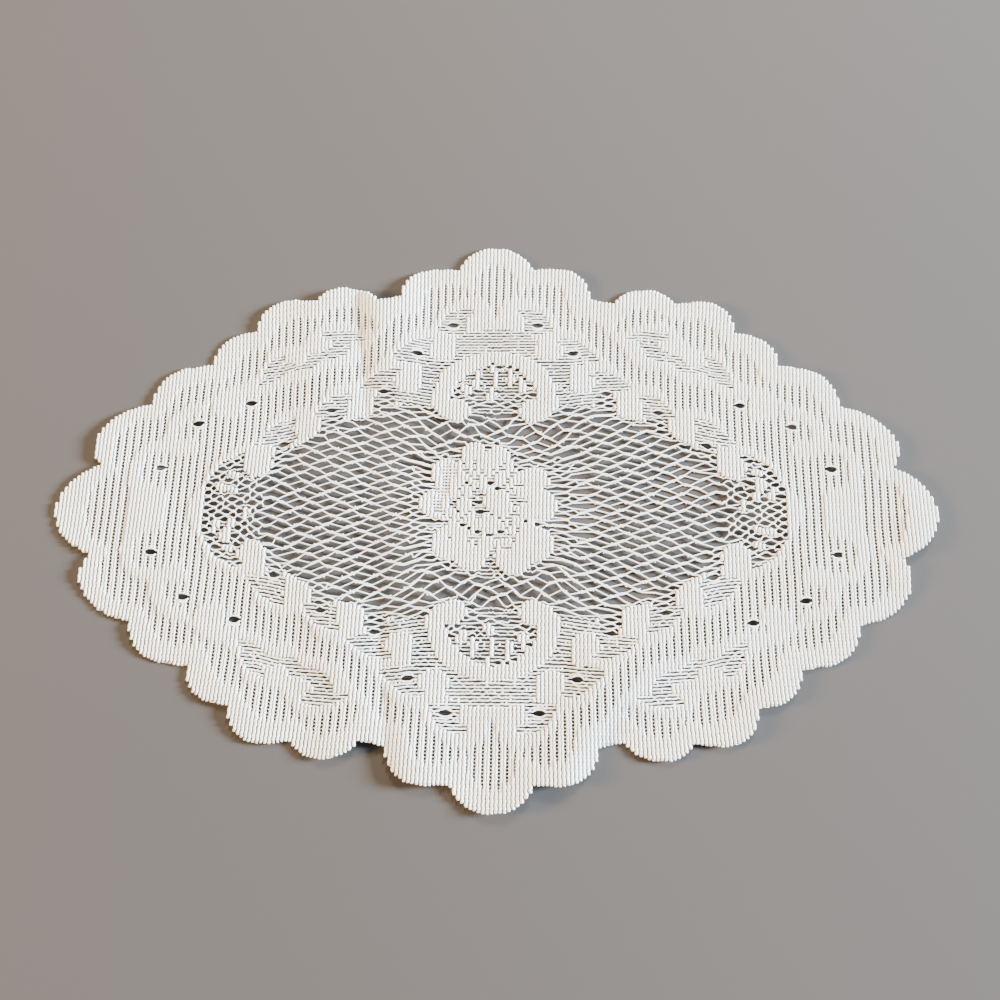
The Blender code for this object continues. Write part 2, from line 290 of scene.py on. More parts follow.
# Open places that part the chains: middle, width and height.
Gap = namedtuple("Gap", "x y width height")
SCROLL_CELLS = [
    Gap(-10.2, 65.7, 3.8, 2.2), Gap(-12, 62.8, 3.6, 2.2), Gap(1.2, 65.7, 3.8, 1.9),
    Gap(-1.4, 58.3, 4.2, 1.9), Gap(6.5, 57.8, 3.8, 2.6), Gap(2.7, 79.2, 3.8, 2), Gap(7.9, 79, 3, 2.2),
    Gap(-1, 81.3, 2.8, 1.8), Gap(11.8, 77.2, 3.4, 1.9), Gap(18.4, 63.5, 3.2, 2.3), Gap(-22, 66, 3, 2.3),
    Gap(-17.6, 61.2, 4, 2), Gap(-23.4, 61.6, 3.4, 2.1), Gap(17, 61.4, 3.4, 2), Gap(-16, 58.6, 2.8, 2),
    Gap(-13.7, 57, 3, 2),
]
END_CELLS = [
    Gap(131, 28.8, 4.4, 1.8), Gap(132.8, 26.5, 4, 1.9), Gap(137.8, 26.4, 3.8, 2.1),
    Gap(141.6, 23.9, 3.2, 2), Gap(139.9, 18, 4, 2.1), Gap(146.9, 17.8, 3.6, 1.8),
    Gap(130.2, 16.2, 3.4, 2.4), Gap(128.4, 12.1, 3.6, 3.2), Gap(145.4, 13.6, 3.6, 1.9),
]
ROSE_HOLES = [
    Gap(-7.4, 3, 5, 2.3), Gap(-7.2, -2, 5.2, 2.4), Gap(-2, 13.3, 3.9, 2.6), Gap(1.7, 10.9, 3.6, 2.6),
    Gap(-14.2, 13.7, 2.6, 2), Gap(-16.2, -8.8, 3.4, 2.2), Gap(-12.5, -10.5, 3.4, 2),
    Gap(-8.4, -12.5, 3.8, 2.4), Gap(-2.4, -14, 4.2, 1.9), Gap(3.4, -12.4, 3.8, 2.2),
    Gap(-19, -1.3, 2.6, 1.8), Gap(16.4, -6, 2.4, 1.8), Gap(22, -7.8, 3.8, 2.1), Gap(25.8, -9.7, 3.8, 2.2),
    Gap(-2.6, 33.4, 3, 1.7),
]
QUARTER_EYELETS = [
    Gap(130.4, 58.2, 6, 3.4), Gap(157.5, 46.6, 6, 3.4), Gap(176, 22.8, 6, 3.4), Gap(23.1, 103.8, 6.2, 3.4),
    Gap(42, 87, 6, 3.2), Gap(59.4, 64.4, 5.4, 2.9), Gap(86.9, 53.6, 5.4, 2.9), Gap(111.8, 35.2, 5.6, 3.4),
]
# Single places left out of the rose: x, y.
ROSE_EYES = [
    (-11.5, 13.3), (-16.5, 11.7), (-18.3, 10), (-17, 8), (-19, 6.3), (-9.2, 10.2), (5.5, 12.7), (7.5, 14.2),
    (7.8, 16.2), (9.2, 17.2), (9.7, 18.9), (11.2, 20), (5, 10.5), (-3.8, 7.7), (-12.6, 4.8), (-12.7, -1),
    (-2.7, -1.3), (-22.3, -4.5), (-17.3, -4.4), (-15.3, -2.7), (-19, -6.5), (-24.3, -6.5), (6.5, -10.8),
    (8, -9.3), (9.5, -5.7), (8.3, -7.4), (6.2, -5), (2.1, -5), (-0.1, -4), (4.2, -7.2), (8.2, 6.8),
    (6, 8.3), (8, 4.7), (10.4, 2.4), (-17, 24), (-17, 22), (-15, 20.5), (-14.8, 18.8), (-3.6, 31.4),
    (2.5, 23.6), (2.4, 21.8), (4.5, 24.8), (6, 21), (-1.5, 20.4), (-5, 17.5), (-9, 17.6), (-13, 17.5),
    (-12.8, -16.2), (-12.8, -17.8), (-9.2, -16.6), (-9.2, -18), (-9.3, -19.4), (11.2, -18), (4, -21.2),
    (7.7, -21.3), (-1.4, -22.3), (-1.4, -24), (9.6, -16.2), (13, -11.3), (-22.7, -14.6), (14.6, 13.2),
    (12.6, 12), (15, 2.8), (16.8, 2.8),
]

COVERED = ("dense", "dotted")  # kinds whose ribs hide the chains
# What stands here and there in the places of a kind, and how often.
FILLED = {"slit": ("tie", 0.07), "ray": ("tie", 0.03), "speck": ("dense", 0.62)}
# How often two neighbouring chains join, and how far each of them bends to do so.
JOINED = {"slit": (0.22, 0.34), "ray": (0.26, 0.5)}

# A mesh's rule. Each chain meets the chain above it at a start that steps through starts from row to row,
# and again after each repeat. Two chains run side by side for meet on both sides of the place, each of them
# apart from it. Every second chain, the holder, draws its two neighbours in: the place lies at the share
# gather of the way to the neighbour. The holders' meetings lie in slanting pairs. The starts have another
# phase on the right than on the left, so the repeat is a little shorter in the middle, within PHASE_REACH.
# Uneven is how far a place may be off.
Mesh = namedtuple("Mesh", "starts repeat meet apart gather right left uneven")
MESHES = {
    "net": Mesh((4.8, 0.0, 8.4, 12.9), 15.7, 2.0, 0.3, 0.42, 6.2, 10.9, 0.25),
    "fan": Mesh((0.0, 3.4, 0.0, 3.4), 6.8, 0.9, 0.34, 0.5, 0.0, 0.0, 0.95),
    "calm": Mesh((0.0, 4.6, 0.0, 4.6), 9.2, 0.8, 0.34, 0.5, 0.0, 0.0, 1.0),
}
PHASE_REACH = 37.0

# The net pulls its chains apart. At each x from the middle: how much wider they stand on the long axis, and
# how far the chain of that level, at the net's rim, is moved outwards. The higher the power, the more of it
# happens close to the rim, as beside the rose. Beyond the rim they stand wider by the share loose, for
# LOOSE_REACH, and then closer by the share TIGHT.
Pull = namedtuple("Pull", "x axis level moved power loose")
PULLS = [
    Pull(0, 0, 47, 6.8, 8, 0.05),
    Pull(6, 0, 46, 6.7, 8, 0.055),
    Pull(14, 0, 40.4, 6, 9, 0.08),
    Pull(30, 0, 40.6, 6.3, 9, 0.07),
    Pull(36, 0.02, 41.4, 7, 6, 0.055),
    Pull(40, 0.08, 41.2, 7.6, 4, 0.045),
    Pull(45, 0.12, 41.4, 8.6, 3, 0.035),
    Pull(55, 0.15, 40.4, 9.8, 3, 0.02),
    Pull(65, 0.19, 39.4, 10.6, 3, 0.01),
    Pull(75, 0.235, 38.6, 11.4, 3, 0),
    Pull(85, 0.28, 33, 10, 3, 0.02),
    Pull(95, 0.31, 28.7, 9.3, 3, 0.02),
    Pull(105, 0.4, 24.3, 8.7, 3, 0.02),
    Pull(115, 0.42, 12.3, 5.7, 3, 0.04),
    Pull(122, 0.34, 12, 4.6, 2, 0.05),
    Pull(135, 0.24, 20, 4.5, 1, 0.03),
    Pull(147, 0.18, 20, 3.6, 1, 0.03),
    Pull(162, 0.08, 25, 2, 1, 0.02),
    Pull(180, 0.04, 25, 1, 1, 0.01),
    Pull(205, 0, 25, 0, 1, 0),
]
LOOSE_REACH = 36.0
TIGHT = 0.03

# --- Shape of the sheet ---


def arc_points(start, arc):
    """Points after start along one arc of the edge, walking with the mat on the right hand."""
    a = Vector(start)
    b = Vector((arc.x, arc.y))
    chord = b - a
    steps = max(1, math.ceil(chord.length / CHORD))
    if arc.rise == 0:
        return [a.lerp(b, i / steps) for i in range(1, steps + 1)]
    radius = (chord.length**2 / 4 + arc.rise**2) / (2 * arc.rise)
    outward = Vector((-chord.y, chord.x)).normalized()
    centre = (a + b) / 2 + outward * (arc.rise - radius)
    first = math.atan2(a.y - centre.y, a.x - centre.x)
    sweep = 2 * math.asin(chord.length / (2 * radius))
    turns = [first - sweep * i / steps for i in range(1, steps + 1)]
    return [centre + radius * Vector((math.cos(t), math.sin(t))) for t in turns]


def whole_outline():
    quarter = [Vector((0.0, HALF_WIDTH))]
    for arc in QUARTER_EDGE:
        quarter += arc_points(quarter[-1], arc)
    outline = []
    for k, (sx, sy) in enumerate(FOUR_QUARTERS):
        walk = quarter if k % 2 == 0 else quarter[::-1]
        outline += [(p.x * sx, p.y * sy) for p in walk[:-1]]
    return outline


def fanned(y):
    """How much wider the ribs stand at a distance from the long axis."""
    return 1 + FLARE * np.maximum(0.0, np.abs(y) - FLARE_START) ** 2


def on_mat(x, y):
    """Where a place of the straight chart lies on the mat, along x."""
    return x * fanned(y) + LEAN * y


def on_chart(x, y):
    return (x - LEAN * y) / fanned(y)


OUTLINE = [(float(on_chart(x, y)), y) for x, y in whole_outline()]


def spans(x):
    """The stretches of an upright line at x that lie on the mat."""
    hits = []
    for (xa, ya), (xb, yb) in zip(OUTLINE, OUTLINE[1:] + OUTLINE[:1]):
        if (xa <= x) != (xb <= x):
            hits.append(ya + (x - xa) / (xb - xa) * (yb - ya))
    hits.sort()
    return list(zip(hits[::2], hits[1::2]))


# The same for every half rib's place. A rib k runs on place 2 k + 1.
REACHES = {j: spans(j * RIB / 2) for j in range(2 * FIRST_RIB, 2 * LAST_RIB + 1)}


def side_share(distance, width, foot):
    """Share of a ridge's height at a distance from its crest."""
    u = np.clip(np.abs(distance) / width, 0.0, 1.0)
    return (1 - u * u) ** foot


def fold_height(fold, x, y):
    run = Vector((fold.x1 - fold.x0, fold.y1 - fold.y0))
    along = run.normalized()
    px, py = x - fold.x0, y - fold.y0
    s = np.clip((px * along.x + py * along.y) / run.length, 0.0, 1.0)
    offset = py * along.x - px * along.y - fold.bow * 4 * s * (1 - s)
    west = side_share(offset, fold.west, fold.west_foot)
    east = side_share(offset, fold.east, fold.east_foot)
    crest = (1 - s) * (1 - 2 * s) * fold.start + 4 * s * (1 - s) * fold.middle + s * (2 * s - 1) * fold.end
    return np.where(offset < 0, west, east) * crest


def slack(x, y):
    """How far the cloth stands off the table where nothing folds it: it touches only here and there."""
    waves = sum(size * np.sin(along * x + across * y + start) for along, across, start, size in SLACK_WAVES)
    return np.maximum(0.0, SLACK * (1 + SLACK_SWING * waves))


def lay_on_table(mesh):
    """Leans and bows a flat mesh as the mat lies, and lifts it over the folds."""
    places = np.empty(len(mesh.vertices) * 3)
    mesh.vertices.foreach_get("co", places)
    places = places.reshape(-1, 3)
    x = on_mat(places[:, 0] / MM, places[:, 1] / MM)
    y = places[:, 1] / MM - BOW * (x / HALF_LENGTH) ** 2
    lift = np.maximum(0.0, sum(fold_height(fold, x, y) for fold in FOLDS)) + slack(x, y)
    places[:, 0] = x * MM
    places[:, 1] = y * MM
    places[:, 2] += lift * MM
    mesh.vertices.foreach_set("co", places.ravel())
    mesh.update()


# --- Reading the chart ---


def nib_box(nib):
    """The smallest and largest x, then y, that a motif reaches."""
    box = []
    for axis in (0, 1):
        box += [min(p[axis] - p[2] for p in nib), max(p[axis] + p[2] for p in nib)]
    return box


def nib_covers(nib, x, y):
    for (x0, y0, r0), (x1, y1, r1) in zip(nib, nib[1:]):
        dx, dy = x1 - x0, y1 - y0
        s = min(1.0, max(0.0, ((x - x0) * dx + (y - y0) * dy) / (dx * dx + dy * dy)))
        if math.hypot(x - x0 - s * dx, y - y0 - s * dy) < r0 + (r1 - r0) * s:
            return True
    return False


def top_first(layers):
    """Every motif of the layers with its kind and its box, the topmost first."""
    return [(kind, nib, nib_box(nib)) for kind, nibs in layers for nib in nibs][::-1]


def petal_rims():
    """The finer cells of the net next to the upper and lower petals."""
    petals = [nib for nib in ROSE_LAYERS[0][1] if abs(nib[0][1]) > RIM_LEVEL]
    return ("fan", [[(x, y, r + ROSE_RIM) for x, y, r in nib] for nib in petals])


QUARTER_STACK = top_first(QUARTER_LAYERS)
SCROLL_STACK = top_first(SCROLL_LAYERS)
END_STACK = top_first(END_LAYERS)
ROSE_STACK = top_first([petal_rims()] + ROSE_LAYERS)


def kind_in(stack, x, y):
    for kind, nib, (x0, x1, y0, y1) in stack:
        if x0 <= x <= x1 and y0 <= y <= y1 and nib_covers(nib, x, y):
            return kind
    return None


def kind_at(x, y):
    """The kind of a place of the chart."""
    x = float(on_mat(x, y))
    if abs(x) < ROSE_REACH[0] and abs(y) < ROSE_REACH[1]:
        kind = kind_in(ROSE_STACK, x, y)
    elif abs(x) < ROSE_REACH[0]:
        kind = kind_in(SCROLL_STACK, x, abs(y))
    else:
        kind = kind_in(END_STACK, abs(x), math.copysign(y, x * y))
    return kind or kind_in(QUARTER_STACK, abs(x), abs(y)) or "dense"


def pull_at(x):
    """The row of PULLS for a place, between two of its rows."""
    for low, high in zip(PULLS, PULLS[1:]):
        if low.x <= x <= high.x:
            share = (x - low.x) / (high.x - low.x)
            return Pull(*[p + share * (q - p) for p, q in zip(low, high)])
    return None


def spread(x, c):
    """Where chain c lies at x, before it meets its neighbours. For c and a half it is midway between two."""
    level = c * ROW + FIRST_ROW + ROW_DRIFT * x
    pull = pull_at(abs(x))
    if pull is None:
        return level
    out = abs(level)
    rise = min(1.0, out / pull.level)
    even = pull.axis * pull.level
    moved = even * rise + (pull.moved - even) * rise**pull.power
    if out > pull.level:
        beyond = out - pull.level
        moved = pull.moved + pull.loose * min(beyond, LOOSE_REACH) - TIGHT * max(0.0, beyond - LOOSE_REACH)
        moved = max(0.0, moved)
    return level + math.copysign(moved, level)


def all_gaps():
    gaps = list(ROSE_HOLES)
    gaps += [gap._replace(y=gap.y * sy) for gap in SCROLL_CELLS for sy in (1, -1)]
    gaps += [gap._replace(x=gap.x * turn, y=gap.y * turn) for gap in END_CELLS for turn in (1, -1)]
    gaps += [gap._replace(x=gap.x * sx, y=gap.y * sy) for gap in QUARTER_EYELETS for sx, sy in FOUR_QUARTERS]
    return [gap._replace(x=float(on_chart(gap.x, gap.y))) for gap in gaps]


GAPS = all_gaps()
GAP_REACH = 3.0  # a gap moves chains up to this many of its half heights away
GAP_HOLD = 1.5  # how long its full push lasts, as it dies out over that reach
GAP_BENDS = (-1, -0.85, -0.55, -0.2, 0.2, 0.55, 0.85, 1)  # where a chain bends past it, in its half widths


def gaps_at(x):
    """The gaps above and below a place of a chain."""
    return [gap for gap in GAPS if abs(x - gap.x) < gap.width / 2]


def parted(x, y, c=None):
    """Moves a chain's place out of the gaps' ovals, to the side that it passes on, and others a little."""
    for gap in gaps_at(x):
        u = 2 * (x - gap.x) / gap.width
        off = y - gap.y
        half = gap.height / 2
        if abs(off) < GAP_REACH * half:
            side = math.copysign(1, off if c is None else spread(gap.x, c) - gap.y)
            calm = 1 - abs(off) / (GAP_REACH * half)
            beyond = max(0.0, off * side)
            pushed = math.hypot(beyond, half * math.sqrt(1 - u * u) * min(1.0, GAP_HOLD * calm))
            y = gap.y + side * pushed
    return y


def in_gap(x, y):
    return any((2 * (x - g.x) / g.width) ** 2 + (2 * (y - g.y) / g.height) ** 2 < 1 for g in gaps_at(x))


def read_chart():
    """What each place of the mat is, one for each rib and each step between chains, and where chains join."""
    dice = random.Random(11)
    chart, joins = {}, {}
    for k in range(FIRST_RIB, LAST_RIB):
        x = (k + 0.5) * RIB
        for c in range(-LAST_ROW - 1, LAST_ROW + 1):
            y = spread(x, c + 0.5)
            draw = dice.random()
            if not any(low - ROW / 2 < y < high + ROW / 2 for low, high in REACHES[2 * k + 1]):
                continue
            kind = kind_at(x, y)
            if in_gap(x, y) and kind not in ("net", "fan"):
                kind = "open"
            elif kind in FILLED and draw < FILLED[kind][1]:
                kind = FILLED[kind][0]
            elif kind in JOINED and draw > 1 - JOINED[kind][0]:
                joins[k, c] = JOINED[kind][1]
            chart[k, c] = kind
    for x, y in ROSE_EYES:
        k = math.floor(on_chart(x, y) / RIB)
        c = min(range(-LAST_ROW, LAST_ROW), key=lambda row: abs(spread(x, row + 0.5) - y))
        chart[k, c] = "open"
    return chart, joins


CHART, JOINS = read_chart()

# --- Threads: every one is a row of points x, y, z, and its share of the full thickness ---

ZIGZAG = 0.16  # how far a rib swings to each side from chain to chain
SLOT_SHIFT = 0.3  # how far two ribs draw together beside a dotted groove
RIB_SHARE = {"dense": 1.0, "dotted": 0.7, "grid": 0.4, "tie": 0.5}
SHORTEST_RIB = 0.6  # shorter ones are left out
TIP = 0.5  # share of a rib's thickness at its two tips
NECK = 0.92  # and just behind them
NECK_GAP = 0.1  # where the two necks would be closer, the rib has none
TIP_LENGTH = 0.4  # how far a rib takes to narrow to its tip
TIP_SPREAD = 0.25  # how unevenly the tips end at the mat's edge
TIP_TURN = 5.1  # radians from rib to rib that scatter them
TIP_GAP = 0.1  # how far past its last chain a rib ends inside the pattern, as a share of a row
HALVINGS = 5  # steps of the search for a motif's end


def ribbed(x, c):
    """Whether ribs fill the motif at level c of the chains."""
    return kind_at(x, spread(x, c)) in RIB_SHARE


def drawn_end(x, c, way):
    """How far a rib that ends at chain c reaches: to where the motif ends that it fills, near the chain."""
    inside, outside = c - way * 0.5, c + way * 0.5
    if ribbed(x, outside) or not ribbed(x, inside):
        return parted(x, spread(x, c + way * TIP_GAP), c)
    for _ in range(HALVINGS):
        middle = (inside + outside) / 2
        if ribbed(x, middle):
            inside = middle
        else:
            outside = middle
    return spread(x, inside)


def rib_run(k, first, last, low, high):
    """One rib over its places from row first to row last."""
    x = (k + 0.5) * RIB
    from_slot = -SLOT_SHIFT if k % 2 == 0 else SLOT_SHIFT
    jag = TIP_SPREAD * math.sin(TIP_TURN * k + first)
    bottom = drawn_end(x, first, -1) if (k, first - 1) in CHART else low + jag
    top = drawn_end(x, last + 1, 1) if (k, last + 1) in CHART else high + jag
    bottom, top = max(bottom, low - TIP_SPREAD), min(top, high + TIP_SPREAD)
    points = []
    for c in range(first, last + 2):
        beside = [CHART[k, j] for j in (c - 1, c) if first <= j <= last]
        shift = from_slot * beside.count("dotted") / len(beside)
        share = sum(RIB_SHARE[kind] for kind in beside) / len(beside)
        points.append((x + shift + ZIGZAG * (-1) ** c, parted(x, spread(x, c), c), 0.0, share))
    inner = [p for p in points if bottom + TIP_LENGTH < p[1] < top - TIP_LENGTH]
    tips = []
    for tip, way in ((bottom, 1), (top, -1)):
        near = min(points, key=lambda p: abs(p[1] - tip))
        neck = (near[0], tip + way * TIP_LENGTH, 0.0, NECK * near[3])
        tips.append([(near[0], tip, 0.0, TIP * near[3]), neck])
    if tips[0][1][1] > tips[1][1][1] - NECK_GAP:
        return [tips[0][0]] + inner + [tips[1][0]]
    return tips[0] + inner + tips[1][::-1]


def rib_threads():
    threads = []
    for k in range(FIRST_RIB, LAST_RIB):
        for low, high in REACHES[2 * k + 1]:
            rows = range(math.floor(low / ROW), math.ceil(high / ROW))
            for filled, run in groupby(rows, key=lambda c: CHART.get((k, c)) in RIB_SHARE):
                if filled:
                    run = list(run)
                    threads.append(rib_run(k, run[0], run[-1], low, high))
    return [thread for thread in threads if thread[-1][1] > thread[0][1] + SHORTEST_RIB]


# A chain's thickness in each style, as shares of the full one: at its joins, between them and at both ends.
Style = namedtuple("Style", "joined between ends")
STYLES = {
    "under": Style(0.5, 0.5, 0.5),
    "rim": Style(0.72, 0.72, 0.7),
    "slit": Style(1.04, 0.88, 0.96),
    "ray": Style(0.76, 0.62, 0.69),
    "net": Style(0.86, 0.74, 0.66),
    "fan": Style(0.94, 0.81, 0.8),
    "calm": Style(0.94, 0.81, 0.8),
}
LEVEL_UNDER = 0.3  # how high the chains lie where ribs cover them
LEVEL_OPEN = 0.6  # and where they show
RIM_HOLD = 0.4  # how far a chain beside something solid is drawn to it at every second rib
RIM_DIP = 0.45  # how far it hangs away between them
SLIT_WAVE = 0.06  # how far a level chain swings up and down between two ribs' places
EDGE_MARGIN = 0.5  # how far a chain stops inside the edge
STEP = 0.25  # closest two points of a chain in a mesh
END_STEP = 0.3  # closest a point lies to the end of its stretch
SHORTEST = 0.4  # shorter stretches, or steps beside a gap, are left out
SCATTER = (2.3, 4.1)  # radians from row to row and from repeat to repeat that scatter a mesh's places


def chain_style(k, c):
    """How the chain at the foot of row c runs under, past or between the ribs of column k."""
    above, below = CHART.get((k, c)), CHART.get((k, c - 1))
    if above is None or below is None or (above in COVERED and below in COVERED):
        return "under"
    if "grid" in (above, below):
        return "slit"
    if above == below and (above in MESHES or above == "ray"):
        return above
    if above in MESHES and below in MESHES:
        return "fan" if "fan" in (above, below) else "calm"
    if "ray" in (above, below):
        return "ray"
    return "rim" if above in MESHES or below in MESHES else "slit"


def meetings(mesh, c, start, stop):
    """The places between start and stop where chain c meets its upper (1) or lower (-1) neighbour."""
    found = []
    reach = (-HALF_LENGTH, -PHASE_REACH, PHASE_REACH, HALF_LENGTH)
    phased = [x - phase for x, phase in zip(reach, (mesh.left, mesh.left, mesh.right, mesh.right))]
    turns = math.ceil(HALF_LENGTH / mesh.repeat) + 1
    for row, way in ((c, 1), (c - 1, -1)):
        for turn in range(-turns, turns):
            x = float(np.interp(mesh.starts[row % 4] + turn * mesh.repeat, phased, reach))
            x += mesh.uneven * math.sin(SCATTER[0] * row + SCATTER[1] * turn)
            if start < x < stop:
                found.append((x, way))
    return sorted(found)


def gathered(mesh, c):
    """The share of the way to its neighbour at which chain c meets it."""
    return mesh.gather if c % 2 == 1 else 1 - mesh.gather


def mesh_run(style, c, start, stop):
    """Chain c through the net or a fan, running beside its neighbours by turns."""
    mesh, look = MESHES[style], STYLES[style]
    share = gathered(mesh, c)
    points = []
    for place, way in meetings(mesh, c, start, stop):
        slope = 0.0
        if mesh.gather < 0.5:
            holder = c if c % 2 == 1 else c + way
            pair = mesh.starts[holder % 4] - mesh.starts[(holder - 1) % 4]
            pair -= mesh.repeat * round(pair / mesh.repeat)
            pitch = abs(spread(place, c + way) - spread(place, c))
            slope = (2 * mesh.gather * pitch - 2 * mesh.apart) / pair
        for step, width in ((-1, look.between), (0, look.joined), (1, look.between)):
            x = place + step * mesh.meet
            if start < x < stop and (not points or x > points[-1][0] + STEP):
                y = (1 - share) * spread(x, c) + share * spread(x, c + way) - way * mesh.apart
                points.append((x, y + slope * step * mesh.meet, width))
    return points


def inner_points(style, c, columns, start, stop):
    """The points of a stretch of one style over its columns of ribs."""
    if style in MESHES:
        return mesh_run(style, c, start, stop)
    look = STYLES[style]
    points = []
    for half in range(2 * columns[0] + 1, 2 * columns[-1] + 2):
        x = half * RIB / 2
        k = half // 2
        if style == "under":
            if half % 4 == 0:
                points.append((x, spread(x, c), look.between))
        elif style == "rim":
            if half % 2:
                way = -1 if CHART.get((k, c)) in MESHES else 1
                points.append((x, spread(x, c) + way * (RIM_HOLD if (k + c) % 2 else -RIM_DIP), look.joined))
        else:
            wave = SLIT_WAVE * (1 if (half + c) % 4 < 2 else -1)
            if half % 2:
                wave += JOINS.get((k, c), 0) - JOINS.get((k, c - 1), 0)
            points.append((x, spread(x, c) + wave, look.joined if half % 2 else look.between))
    return points


def chain_points(c, low, high):
    """A whole chain, as stretches of one style: a list of (style, points)."""
    out = []
    columns = range(math.floor(low / RIB), math.ceil(high / RIB))
    for style, run in groupby(columns, key=lambda k: chain_style(k, c)):
        run = list(run)
        start, stop = max(low, run[0] * RIB), min(high, (run[-1] + 1) * RIB)
        if stop - start < SHORTEST:
            continue
        inner = inner_points(style, c, run, start, stop)
        inner = [p for p in inner if start + END_STEP < p[0] < stop - END_STEP]
        ends = [(x, spread(x, c), STYLES[style].ends) for x in (start, stop)]
        out.append((style, [ends[0]] + inner + [ends[1]]))
    return out


def bend_past_gaps(points, c):
    """Adds points where a stretch passes a gap, then parts the whole stretch round the gaps."""
    extra = set()
    xs, ys, shares = zip(*points)
    start, stop = xs[0], xs[-1]
    for gap in GAPS:
        if gap.x + gap.width / 2 < start or gap.x - gap.width / 2 > stop:
            continue
        if abs(np.interp(gap.x, xs, ys) - gap.y) < GAP_REACH * gap.height / 2 + ROW:
            extra.update(gap.x + gap.width / 2 * u for u in GAP_BENDS)
    if extra:
        extra = [x for x in extra if start + END_STEP < x < stop - END_STEP]
        taken = sorted(list(xs) + [x for x in extra if min(abs(x - q) for q in xs) > SHORTEST])
        points = list(zip(taken, np.interp(taken, xs, ys), np.interp(taken, xs, shares)))
    return [(x, parted(x, y, c), share) for x, y, share in points]


def chain_spans(c):
    """The stretches of x where chain c lies on the mat."""
    found = []
    for j, reach in REACHES.items():
        y = spread(j * RIB / 2, c)
        if any(low < y < high for low, high in reach):
            if found and found[-1][1] == j - 1:
                found[-1][1] = j
            else:
                found.append([j, j])
    return [(first * RIB / 2, last * RIB / 2) for first, last in found]


def chain_threads():
    """All chains, in two lists: what lies under ribs, and what shows between them."""
    under, shown = [], []
    for c in range(-LAST_ROW, LAST_ROW + 1):
        for low, high in chain_spans(c):
            if high - low < 2 * EDGE_MARGIN + RIB:
                continue
            last = "under"
            for style, points in chain_points(c, low + EDGE_MARGIN, high - EDGE_MARGIN):
                level = LEVEL_UNDER if style == "under" else LEVEL_OPEN
                thread = [(x, y, level, share) for x, y, share in bend_past_gaps(points, c)]
                if style == "under":
                    under.append(thread)
                elif last == "under":
                    shown.append(thread)
                else:
                    # Between two meshes the shared end is left out, so that the chain has no kink there.
                    if last in MESHES and style in MESHES:
                        shown[-1].pop()
                    shown[-1] += thread[1:]
                last = style
    return under, shown


def knots():
    """Where chains meet in the net: x and y."""
    net = MESHES["net"]
    places = []
    for c in range(-LAST_ROW, LAST_ROW):
        for low, high in chain_spans(c):
            for x, way in meetings(net, c, low, high):
                column = math.floor(x / RIB)
                if way > 0 and chain_style(column, c) == "net" and chain_style(column, c + 1) == "net":
                    y = spread(x, c) + gathered(net, c) * (spread(x, c + 1) - spread(x, c))
                    places.append((x, parted(x, y)))
    return places


# --- Materials ---


def hex_colour(text):
    """An sRGB hex colour as linear values."""
    values = [int(text.lstrip("#")[i : i + 2], 16) / 255 for i in (0, 2, 4)]
    return tuple(v / 12.92 if v <= 0.04045 else ((v + 0.055) / 1.055) ** 2.4 for v in values) + (1.0,)


def add_node(tree, kind, settings=None, links=None):
    """A node with its settings, by property or socket name, and with what is linked into its sockets."""
    node = tree.nodes.new(kind)
    for name, value in (settings or {}).items():
        if isinstance(name, str) and hasattr(node, name):
            setattr(node, name, value)
        else:
            node.inputs[name].default_value = value
    for name, output in (links or {}).items():
        tree.links.new(output, node.inputs[name])
    return node


def fresh_material(name):
    material = bpy.data.materials.new(name)
    material.use_nodes = True
    material.node_tree.nodes.clear()
    return material


WAVE_TURN = 20  # radians that a wave texture of scale 1 turns in one metre
FIBRE = 0.35  # width of the clumps of loose fibre; single fibres are too fine to show
MOTTLE = 9.0  # size of the slightly darker patches


def knitted_cotton(props):
    """Mercerised cotton lace yarn, machine knitted and bleached.

    To the eye it is a soft matt white, slightly warm, with a faint sheen along the threads, a small swell at
    each stitch and fine loose fibres that blur its edges.
    """
    material = fresh_material("knitted_cotton_yarn")
    tree = material.node_tree
    place = {"Vector": add_node(tree, "ShaderNodeTexCoord").outputs["Object"]}
    stitch_scale = 2 * math.pi / (WAVE_TURN * ROW * MM)
    stitch = add_node(
        tree,
        "ShaderNodeTexWave",
        {"wave_type": "BANDS", "bands_direction": "Y", "Scale": stitch_scale, "Distortion": 0.6},
        place,
    )
    fibre = add_node(
        tree, "ShaderNodeTexNoise", {"Scale": 1 / (FIBRE * MM), "Detail": 3.0, "Roughness": 0.6}, place
    )
    mottle = add_node(tree, "ShaderNodeTexNoise", {"Scale": 1 / (MOTTLE * MM), "Detail": 3.0}, place)
    shade = add_node(
        tree,
        "ShaderNodeMix",
        {"data_type": "RGBA", 6: hex_colour(props.yarn_colour), 7: hex_colour(props.yarn_shade)},
        {0: mottle.outputs["Fac"]},
    )
    fibre_bump = add_node(
        tree, "ShaderNodeBump", {"Strength": 0.5, "Distance": 0.12 * MM}, {"Height": fibre.outputs["Fac"]}
    )
    stitch_bump = add_node(
        tree,
        "ShaderNodeBump",
        {"Strength": 0.6, "Distance": 0.25 * MM},
        {"Height": stitch.outputs["Fac"], "Normal": fibre_bump.outputs["Normal"]},
    )
    shader = add_node(
        tree,
        "ShaderNodeBsdfPrincipled",
        {"Roughness": 0.85, "Specular IOR Level": 0.25, "Sheen Weight": 0.15, "Sheen Roughness": 0.5},
        {"Base Color": shade.outputs[2], "Normal": stitch_bump.outputs["Normal"]},
    )
    add_node(tree, "ShaderNodeOutputMaterial", {}, {"Surface": shader.outputs["BSDF"]})
    return material


